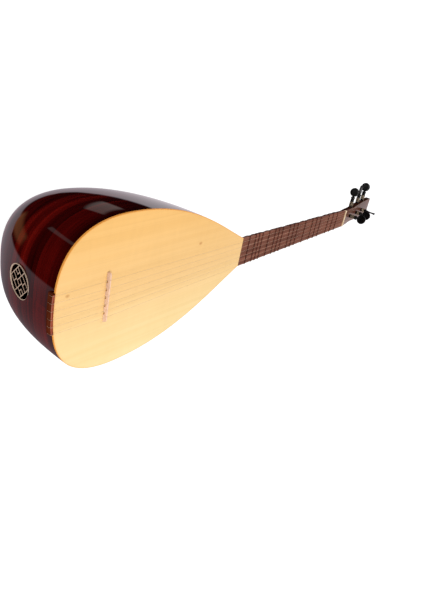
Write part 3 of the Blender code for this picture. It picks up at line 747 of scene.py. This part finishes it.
def neck_depth(x):
    share = x / BODY_JOINT_X
    return NECK_DEPTH - NECK_THINNING * share + HEEL_SWELL * share ** 6


def round_back(x, grow, first, steps):
    """The neck's round back as seen in section, from one side to the other."""
    half = neck_half(x) + grow
    deep = neck_depth(x) + grow
    angles = [first + (math.pi - 2.0 * first) * i / steps for i in range(steps + 1)]
    return [Vector((x, half * math.cos(a), -deep * math.sin(a))) for a in angles]


# the neck, head and tailpiece get painted shade on faces that don't point up
neck_wood = wood_material("neck_walnut", (0.070, 0.020, 0.012), (0.145, 0.048, 0.030),
                          (0.235, 0.090, 0.058), rough=(0.22, 0.36), coat=0.3, painted_side_shade=0.22)
finger_wood = wood_material("fingerboard_rosewood", (0.100, 0.029, 0.015), (0.170, 0.054, 0.030),
                            (0.240, 0.090, 0.054), rough=(0.42, 0.56), coat=0.0, grain_scale=1.4,
                            shine=0.25)
tail_wood = wood_material("tailpiece_wood", (0.110, 0.012, 0.003), (0.230, 0.038, 0.012),
                          (0.330, 0.080, 0.030), rough=(0.24, 0.4), coat=0.06, axis="Y",
                          painted_side_shade=0.30, shine=0.15)
bridge_wood = wood_material("bridge_beech", (0.66, 0.38, 0.24), (0.80, 0.52, 0.36),
                            (0.86, 0.60, 0.44), rough=(0.5, 0.65), pore=0.6, coat=0.0, axis="Y")
pale_wood = wood_material("inner_pale_wood", (0.42, 0.25, 0.11), (0.56, 0.36, 0.17),
                          (0.68, 0.47, 0.25), rough=(0.6, 0.75), coat=0.0)
bone = bone_material("nut_bone", (0.92, 0.74, 0.50), (0.82, 0.60, 0.36))
rosette_bone = bone_material("rosette_bone", (0.50, 0.365, 0.265), (0.37, 0.255, 0.175),
                             fretwork=True)
ebony = ebony_material()
cord = cord_material()
steel = steel_material()

bm = bmesh.new()
rings = []
for i in range(25):
    x = BODY_JOINT_X + (HEAD_START - 0.3 - BODY_JOINT_X) * i / 24
    rings.append(round_back(x, 0.0, math.asin((FINGERBOARD + 0.3) / neck_depth(x)), 36))
loft(bm, rings)
neck = new_piece("neck_back", bm, neck_wood, sharp=50.0)
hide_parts("neck")

bm = bmesh.new()
rings = []
for i in range(25):
    x = BODY_JOINT_X + 0.3 + (-1.8 - BODY_JOINT_X - 0.3) * i / 24
    half = neck_half(x)
    low = half * math.sqrt(1.0 - (FINGERBOARD / neck_depth(x)) ** 2)
    side = [(low, -4.0), ((low + half) * 0.5, -2.3), (half, -0.5), (half - 0.15, -0.15),
            (half - 0.5, 0.0), (half * 0.5, 0.0), (0.0, 0.0)]
    rings.append([(x, y, z) for y, z in side] + [(x, -y, z) for y, z in side[-2::-1]])
loft(bm, rings)
finger = new_piece("fingerboard_top", bm, finger_wood, sharp=50.0)
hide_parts("fingerboard")

for number, share in enumerate(FRETS, start=1):
    bm = bmesh.new()
    for turn in (-0.82, 0.0, 0.82):
        x = -share * STRING_LENGTH + turn
        lift = 0.05 + CORD_RADIUS
        half = neck_half(x) + lift
        corner = [(half - lift + lift * math.sin(a), lift * math.cos(a))
                  for a in (math.pi / 2 * k / 4 for k in range(4))]
        path = [Vector((x, y, z)) for y, z in corner]
        path += round_back(x, lift, 0.0, 24)
        path += [Vector((x, -y, z)) for y, z in reversed(corner)]
        sweep(bm, path, CORD_RADIUS, 8, loop=True)
    fret = new_piece("fret_cord_%02d" % number, bm, cord, sharp=60.0, merge=0)
    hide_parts("fret_%02d" % number)


# ------------------------------------------------------- nut, bridge, tailpiece
def plate_piece(name, outline_yz, thick, x, taper, material, bevel, y=0.0, sharp=40.0):
    """Flat outline in the YZ plane, thinner towards the top, with rounded edges."""
    bm = bmesh.new()
    rows = []
    top = max(p[1] for p in outline_yz)
    for side in (-0.5, 0.5):
        row = []
        for across, z in outline_yz:
            lean = 1.0 - taper * max(z, 0.0) / top
            row.append(bm.verts.new((x + side * thick * lean, across + y, z)))
        rows.append(row)
    count = len(outline_yz)
    for i in range(count):
        j = (i + 1) % count
        bm.faces.new((rows[0][i], rows[0][j], rows[1][j], rows[1][i]))
    bm.faces.new(rows[0][::-1])
    bm.faces.new(rows[1])
    bmesh.ops.recalc_face_normals(bm, faces=bm.faces)
    edges = [e for e in bm.edges if e.calc_face_angle(0.0) > math.radians(30)]
    bmesh.ops.bevel(bm, geom=edges, offset=bevel, segments=2, affect="EDGES", clamp_overlap=True)
    bmesh.ops.triangulate(bm, faces=[f for f in bm.faces if len(f.verts) > 4])
    return new_piece(name, bm, material, sharp=sharp)


def slotted_top(half, top, spots, depth, width):
    """Top edge of the nut or the bridge, with a small slot for each string."""
    line = [(half, top)]
    for y in sorted(spots, reverse=True):
        line += [(y + width, top), (y + width * 0.45, top - depth * 0.8), (y, top - depth),
                 (y - width * 0.45, top - depth * 0.8), (y - width, top)]
    line.append((-half, top))
    return line


nut_line = slotted_top(NUT_HALF - 0.2, NUT_TOP, NUT_STRING_Y, 0.5, 0.6)
nut_line += [(-NUT_HALF + 0.6, -FINGERBOARD), (NUT_HALF - 0.6, -FINGERBOARD)]
nut = plate_piece("nut_bar", nut_line, 3.0, 0.0, 0.0, bone, 0.12)
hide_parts("nut")

bridge_line = slotted_top(BRIDGE_HALF - 3.0, BRIDGE_HEIGHT, [y - BRIDGE_Y for y in BRIDGE_STRING_Y],
                          0.5, 0.6)
bridge_line += [(-BRIDGE_HALF + 1.2, 4.9), (-BRIDGE_HALF + 0.2, 3.6), (-BRIDGE_HALF, 2.4),
                (-BRIDGE_HALF, 0.3)]
for spot in (-25.0, -12.5, 0.0, 12.5, 25.0):
    bridge_line += [(spot - 2.6, 0.3), (spot - 2.3, 1.3), (spot - 1.4, 2.2), (spot, 2.6),
                    (spot + 1.4, 2.2), (spot + 2.3, 1.3), (spot + 2.6, 0.3)]
bridge_line += [(BRIDGE_HALF, 0.3), (BRIDGE_HALF, 2.4), (BRIDGE_HALF - 0.2, 3.6),
                (BRIDGE_HALF - 1.2, 4.9)]
bridge = plate_piece("bridge_bar", bridge_line, BRIDGE_BASE, -SCALE_LENGTH,
                     1.0 - BRIDGE_TOP / BRIDGE_BASE, bridge_wood, 0.12, BRIDGE_Y)
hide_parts("bridge")


def tail_x_at(y):
    """Where the rim at the tail lies, y to one side of the middle."""
    low = 0.0
    high = 0.25
    for _ in range(40):
        middle = (low + high) * 0.5
        if rim(middle)[1] < abs(y):
            low = middle
        else:
            high = middle
    return TAIL_X + rim(low)[0]


tail_section = ((-0.3, -11.0), (-0.3, 0.4), (-0.7, 1.0), (-1.6, 1.35), (-2.8, 1.5), (-3.7, 1.3),
                (-4.4, 0.95), (-4.9, 0.4), (-5.15, -0.6), (-5.3, -6.4), (-5.1, -7.6), (-4.3, -8.8),
                (-2.9, -10.6), (-2.1, -11.0))
bm = bmesh.new()
rings = []
ends = [(-1.0, 0.86), (-0.985, 0.96), (-0.96, 1.0)]
ends += [(-0.96 + 1.92 * i / 40, 1.0) for i in range(1, 40)]
ends += [(0.96, 1.0), (0.985, 0.96), (1.0, 0.86)]
for share, grow in ends:
    y = TAILPIECE_Y + TAILPIECE_HALF * share
    back = tail_x_at(y)
    rings.append([(back - 0.3 + (dx + 0.3) * grow, y, -5.0 + (z + 5.0) * grow)
                  for dx, z in tail_section])
loft(bm, rings)
bmesh.ops.triangulate(bm, faces=[f for f in bm.faces if len(f.verts) > 4])
tailpiece = new_piece("tailpiece_block", bm, tail_wood, sharp=42.0)
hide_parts("tailpiece")


# ------------------------------------------------------------------- rosette
def make_rosette():
    """Thin ring with a flat fretwork of crossing strips, the across ones a shade higher."""
    bm = bmesh.new()
    # a mark on each vertex of the strips' sides and undersides, where painted shade goes
    edge = bm.verts.layers.float.new("strip_side_shade")
    outer, inner = ROSETTE_RADIUS + 0.1, ROSETTE_RADIUS - 1.35
    section = ((inner, 0.4), (inner, 1.2), (inner + 0.25, 1.5), (inner + 0.7, 1.7),
               (outer - 0.5, 1.9), (outer - 0.1, 1.8), (outer, 1.5), (outer, 0.4))
    rings = []
    for k in range(96):
        angle = math.tau * k / 96
        rings.append([rosette_place @ Vector((r * math.cos(angle), r * math.sin(angle), z))
                      for r, z in section])
    loft(bm, rings, loop=True)
    turn = math.radians(45.0)
    for mirror in (1.0, -1.0):
        for x0, y0, x1, y1 in STRIPS:
            level = 1.1 if y0 == y1 else 0.95
            long = Vector((x1 - x0, y1 - y0)).normalized()
            steps = max(int(max(x1 - x0, y1 - y0) / 1.5), 3)
            rings = []
            for k in range(steps + 1):
                spot = Vector((x0, y0)).lerp(Vector((x1, y1)), k / steps) * mirror
                ring = []
                for across, up in STRIP_SECTION:
                    x = spot.x - long.y * across
                    y = spot.y + long.x * across
                    ring.append(rosette_place @ Vector(((x + y) * math.cos(turn),
                                                        (y - x) * math.sin(turn), level + up)))
                rings.append(ring)
            for row in loft(bm, rings):
                for vert, (across, up) in zip(row, STRIP_SECTION):
                    vert[edge] = 1.0 if up < -0.1 else 0.0
    return new_piece("rosette_lattice", bm, rosette_bone, sharp=50.0, merge=0)


rosette = make_rosette()
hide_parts("rosette")


# ------------------------------------------------------------------- head
def head_point(s, y, z):
    """Point s along the tilted head, y across it and z above its face."""
    return Vector((HEAD_START + s * math.cos(HEAD_TILT) + z * math.sin(HEAD_TILT), y,
                   -0.3 - s * math.sin(HEAD_TILT) + z * math.cos(HEAD_TILT)))


def head_value(s, column):
    """Smooth reading of the head's stations."""
    stations = HEAD_STATIONS
    for i in range(len(stations) - 1):
        if s <= stations[i + 1][0]:
            break
    a, b = stations[i], stations[i + 1]
    before = stations[i - 1] if i > 0 else a
    after = stations[i + 2] if i + 2 < len(stations) else b
    span = b[0] - a[0]
    u = min(max((s - a[0]) / span, 0.0), 1.0)
    slope_a = (b[column] - before[column]) / (b[0] - before[0])
    slope_b = (after[column] - a[column]) / (after[0] - a[0])
    h = (2 * u ** 3 - 3 * u ** 2 + 1, u ** 3 - 2 * u ** 2 + u, -2 * u ** 3 + 3 * u ** 2, u ** 3 - u ** 2)
    return (h[0] * a[column] + h[1] * span * slope_a + h[2] * b[column] + h[3] * span * slope_b)


bm = bmesh.new()
rings = []
stations = [(HEAD_LENGTH * i / 44, 0.0) for i in range(44)]
stations += [(HEAD_LENGTH - 0.8, 0.0), (HEAD_LENGTH - 0.25, 0.25), (HEAD_LENGTH, 0.7)]
for s, shrink in stations:
    half = head_value(s, 1) - shrink
    deep = head_value(s, 2)
    side = head_value(s, 3)
    square = head_value(s, 4)
    section = [(half - 0.7, -shrink), (half - 0.2, -0.2 - shrink), (half, -0.7 - shrink)]
    for i in range(33):
        angle = math.pi * i / 32
        section.append((half * power(math.cos(angle), square),
                        -side - (deep - shrink - side) * abs(math.sin(angle)) ** square))
    section += [(-half, -0.7 - shrink), (-half + 0.2, -0.2 - shrink), (-half + 0.7, -shrink)]
    rings.append([head_point(s if s else -z * math.tan(HEAD_TILT), y, z) for y, z in section])
loft(bm, rings)
head = new_piece("head_block", bm, neck_wood, sharp=45.0)
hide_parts("headstock")

HEAD_TURN = Matrix.Rotation(HEAD_TILT, 4, "Y")


def grip_thickness(turn):
    """Half thickness of the grip at an angle round its outline, from its foot to its tip."""
    table = ((-76.0, 2.9), (-58.0, 3.4), (-40.0, 3.1), (-20.0, 2.5), (5.0, 2.2), (30.0, 2.4),
             (50.0, 2.8), (67.0, 3.0), (82.0, 2.6), (88.0, 1.4))
    for near, far in zip(table, table[1:]):
        if turn <= far[0]:
            share = (turn - near[0]) / (far[0] - near[0])
            share = share * share * (3.0 - 2.0 * share)
            return near[1] + (far[1] - near[1]) * share
    return table[-1][1]


def peg_piece(name, place, inside, shaft, roll, body):
    """Turned ebony peg: tapered shaft, collar beads, thin neck and a round grip, hollowed each side."""
    turned = [(-inside, 3.1), (-inside + 0.3, 3.5), (-inside + 0.8, 3.6), (0.0, 4.0),
              (shaft - 0.5, 4.0), (shaft - 0.1, 4.3), (shaft + 0.4, 4.7), (shaft + 0.9, 4.8),
              (shaft + 1.5, 4.75), (shaft + 1.9, 4.4), (shaft + 2.2, 4.35), (shaft + 2.5, 4.4),
              (shaft + 2.8, 4.0), (shaft + 3.2, 3.2), (shaft + 3.6, 2.75), (shaft + 4.2, 2.45)]
    stations = [(height, radius, radius, 1.0, 0.0) for height, radius in turned]
    for k in range(34):
        turn = -75.0 + 163.0 * k / 33
        angle = math.radians(turn)
        share = min(1.0, k / 5.0)
        stations.append((shaft + GRIP_REACH + GRIP * math.sin(angle), grip_thickness(turn),
                         GRIP * math.cos(angle), 1.0 - 0.28 * share, 0.30 * share))
    rings = []
    turn = place @ Matrix.Rotation(math.radians(roll), 4, "Z")
    for height, thick, wide, square, dish in stations:
        ring = []
        for k in range(36):
            angle = math.tau * k / 36
            across = power(math.sin(angle), square)
            hollow = 1.0 - dish * (1.0 - across * across) * min(1.0, wide / GRIP * 1.2)
            ring.append(turn @ Vector((thick * power(math.cos(angle), square) * hollow,
                                       wide * across, height)))
        rings.append(ring)
    bm = bmesh.new()
    loft(bm, rings)
    made = new_piece(name, bm, ebony, sharp=60.0, body=body, merge=0)
    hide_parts(body)


def wind(place, start_angle, low, high, turns):
    """Points of a wire wound evenly on a peg's shaft, from low to high along it."""
    points = []
    steps = int(turns * 16)
    for i in range(steps + 1):
        share = i / steps
        angle = start_angle + math.tau * i / 16
        height = low + (high - low) * share
        points.append(place @ Vector((WINDING_RADIUS * math.cos(angle),
                                      WINDING_RADIUS * math.sin(angle), height)))
    return points


def string_route(number):
    """A string's points from the tailpiece over the bridge to the nut."""
    y = TAIL_STRING_Y[number - 1]
    back = tail_x_at(y)
    crossing = BRIDGE_HEIGHT + 0.2
    bridge_y = BRIDGE_STRING_Y[number - 1]
    nut_y = NUT_STRING_Y[number - 1]
    return [Vector((back - 4.6, y, -5.5)), Vector((back - 5.55, y, -5.5)),
            Vector((back - 5.72, y, -5.0)), Vector((back - 5.62, y, -0.4)),
            Vector((back - 5.2, y, 0.75)), Vector((back - 4.2, y, 1.5)), Vector((back - 2.8, y, 1.85)),
            Vector((-SCALE_LENGTH - 3.0, bridge_y, crossing - 0.16)),
            Vector((-SCALE_LENGTH, bridge_y, crossing)),
            Vector((-SCALE_LENGTH + 3.0, bridge_y, crossing - 0.03)),
            Vector((-0.8, nut_y, NUT_TOP + 0.05)), Vector((1.2, nut_y, NUT_TOP))]


def string_piece(number, route):
    bm = bmesh.new()
    sweep(bm, route, WIRE_RADIUS, 7)
    wire = new_piece("wire_%d" % number, bm, steel, sharp=80.0, merge=0)
    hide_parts("string_%d" % number)


for number, s in enumerate(SIDE_PEG_S, start=1):
    edge = head_value(s, 1)
    root = head_point(s, edge, SIDE_PEG_DEPTH)
    place = Matrix.Translation(root) @ HEAD_TURN @ Matrix.Rotation(-math.pi / 2, 4, "X")
    shaft = SIDE_SHAFTS[number - 1]
    peg_piece("peg_side_%d_turned" % number, place, 2.0 * edge - 3.0, shaft,
              SIDE_ROLLS[number - 1], "peg_side_%d" % number)
    route = string_route(number)
    reach = s - 9.0
    route.append(head_point(reach, head_value(reach, 1) + 0.3, 0.45))
    string_piece(number, route + wind(place, math.radians(-120.0), 3.2, 12.8, 12.0))

for number, s in enumerate(FRONT_PEG_S, start=1):
    root = head_point(s, 0.0, 0.0)
    place = Matrix.Translation(root) @ HEAD_TURN
    shaft = FRONT_SHAFTS[number - 1]
    peg_piece("peg_front_%d_turned" % number, place, head_value(s, 2) - 0.5, shaft,
              FRONT_ROLLS[number - 1], "peg_front_%d" % number)
    route = string_route(number + 3)
    string_piece(number + 3, route + wind(place, math.radians(-100.0), 3.4, shaft - 2.0, 9.0))

for name in ("brace_rear", "brace_front", "neck_block", "tail_block"):
    inner_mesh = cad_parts[name].data
    inner_mesh.materials.clear()
    inner_mesh.materials.append(pale_wood)


# ------------------------------------------------------- floor, light, camera
def floor_material():
    """Pale floor that glows, so that the camera sees it nearly white."""
    m = Nodes("studio_floor")
    cloud = m.noise(m.coords(), 0.7, 2.0, 0.5)
    base = m.ramp(cloud, ((0.0, (0.18, 0.18, 0.182)), (1.0, (0.20, 0.20, 0.20))))
    m.feed("Base Color", base)
    m.value("Roughness", 0.9)
    m.value("Specular IOR Level", 0.0)
    m.value("Emission Color", (1.0, 1.0, 1.0, 1.0))
    m.value("Emission Strength", 0.96)
    return m.owner


FLOOR_HALF = 150.0
bm = bmesh.new()
bm.faces.new([bm.verts.new((x * FLOOR_HALF, y * FLOOR_HALF, 0.0))
              for x, y in ((-1, -1), (1, -1), (1, 1), (-1, 1))])
floor = mesh_object("studio_floor", bm)
floor.data.materials.append(floor_material())
floor.location = (0.0, 0.0, -0.0005)
floor.visible_glossy = False


def studio_world():
    """White to the camera, dark with pale patches in reflections, and soft light otherwise."""
    w = Nodes("studio", bpy.data.worlds)
    w.tree.nodes.clear()
    bpy.context.scene.world = w.owner

    def patch(middle_x, middle_y, lean, half_long, half_wide, soft):
        """A soft-edged rectangle on the ground plane below, seen from the middle of the bowl."""
        dx = w.math("SUBTRACT", ground_x, middle_x)
        dy = w.math("SUBTRACT", ground_y, middle_y)
        along = w.math("ADD", w.math("MULTIPLY", dx, math.cos(lean)),
                       w.math("MULTIPLY", dy, math.sin(lean)))
        wide = w.math("SUBTRACT", w.math("MULTIPLY", dy, math.cos(lean)),
                      w.math("MULTIPLY", dx, math.sin(lean)))
        a = w.fade(w.math("SUBTRACT", half_long, w.math("ABSOLUTE", along)), 0.0, soft)
        b = w.fade(w.math("SUBTRACT", half_wide, w.math("ABSOLUTE", wide)), 0.0, soft)
        return w.math("MULTIPLY", w.math("MULTIPLY", a, b), below)

    split = w.add("ShaderNodeSeparateXYZ")
    w.link(w.add("ShaderNodeTexCoord").outputs["Generated"], split.inputs[0])
    drop = w.math("MAXIMUM", w.math("MULTIPLY", split.outputs["Z"], -1.0), 0.02)
    below = w.fade(split.outputs["Z"], -0.02, -0.06)
    ground_x = w.math("DIVIDE", split.outputs["X"], drop)
    ground_y = w.math("DIVIDE", split.outputs["Y"], drop)

    # the pale sheet: its near edge leaves the tail slantwise, then runs along the instrument
    low_edge = w.math("MULTIPLY_ADD", ground_x, 0.42, -0.063)
    steep_edge = w.math("ADD", ground_x, 0.03)
    rise = w.math("MULTIPLY", w.math("MAXIMUM", w.math("SUBTRACT", ground_x, 0.75), 0.0), 0.45)
    edge = w.math("MINIMUM", w.math("MAXIMUM", low_edge, steep_edge), w.math("ADD", rise, 0.09))
    sheet = w.math("MULTIPLY", w.fade(w.math("SUBTRACT", edge, ground_y), -0.03, 0.03), below)
    pale = w.mix((0.195, 0.165, 0.185), (0.53, 0.46, 0.51), w.fade(ground_y, -0.75, -0.12))
    pale = w.mix(pale, (0.86, 0.78, 0.83), w.fade(ground_x, 0.75, 1.25))
    brown = patch(-0.17, 0.06, 0.15, 0.33, 0.17, 0.12)
    streak = patch(-0.52, 0.77, -0.62, 0.30, 0.07, 0.04)
    card = patch(0.76, 0.57, -0.75, 0.22, 0.11, 0.05)
    shine = w.mix((0.003, 0.002, 0.003), (0.50, 0.21, 0.085), brown)
    shine = w.mix(shine, (0.32, 0.30, 0.30), streak)
    shine = w.mix(shine, (0.42, 0.35, 0.33), card)
    shine = w.mix(shine, pale, sheet)
    overhead = w.fade(split.outputs["Z"], 0.05, 0.75)
    shine = w.mix(shine, (0.55, 0.53, 0.52), overhead)
    height = w.math("ABSOLUTE", w.math("SUBTRACT", split.outputs["Z"], 0.13))
    wall = w.math("MULTIPLY", w.fade(height, 0.16, 0.10), w.fade(split.outputs["X"], 0.6, 0.8))
    shine = w.mix(shine, (0.70, 0.66, 0.67), wall)

    soft = w.mix((0.24, 0.22, 0.25), (0.72, 0.73, 0.76), w.fade(split.outputs["Z"], -0.4, 0.45))
    rays = w.add("ShaderNodeLightPath")
    colour = w.mix(soft, shine, rays.outputs["Is Glossy Ray"])
    colour = w.mix(colour, (1.0, 1.0, 1.0), rays.outputs["Is Camera Ray"])
    background = w.add("ShaderNodeBackground")
    w.link(colour, background.inputs["Color"])
    output = w.add("ShaderNodeOutputWorld")
    w.link(background.outputs["Background"], output.inputs["Surface"])


studio_world()


def area_light(name, place, target, size, energy):
    data = bpy.data.lights.new(name, "AREA")
    data.size = size
    data.energy = energy
    made = add_object(name, data)
    made.location = place
    aim = Vector(target) - Vector(place)
    made.rotation_mode = "QUATERNION"
    made.rotation_quaternion = aim.to_track_quat("-Z", "Y")
    made.visible_camera = False


area_light("key_softbox", (-1.2, -1.0, 2.2), (-0.2, 0.0, 0.15), 1.6, 42.0)
area_light("fill_softbox", (0.6, 1.6, 1.8), (-0.1, 0.0, 0.1), 1.4, 14.0)

camera_data = bpy.data.cameras.new("camera")
camera_data.sensor_width = 36.0
camera_data.lens = 35.645
camera_data.clip_start = 0.02
camera_data.clip_end = 500.0
camera = add_object("camera", camera_data)
bpy.context.scene.camera = camera
CAMERA_FROM_NUT = Vector((-1215.1, 400.2, 534.8))
CAMERA_DEGREES = (-39.454, -48.8265, 15.5123)
turn = Euler([math.radians(angle) for angle in CAMERA_DEGREES]).to_matrix().to_4x4()
camera.matrix_world = Matrix.Translation((BASE + CAMERA_FROM_NUT) * MM) @ turn

bpy.context.scene.view_settings.view_transform = "Standard"
bpy.context.scene.view_settings.look = "None"
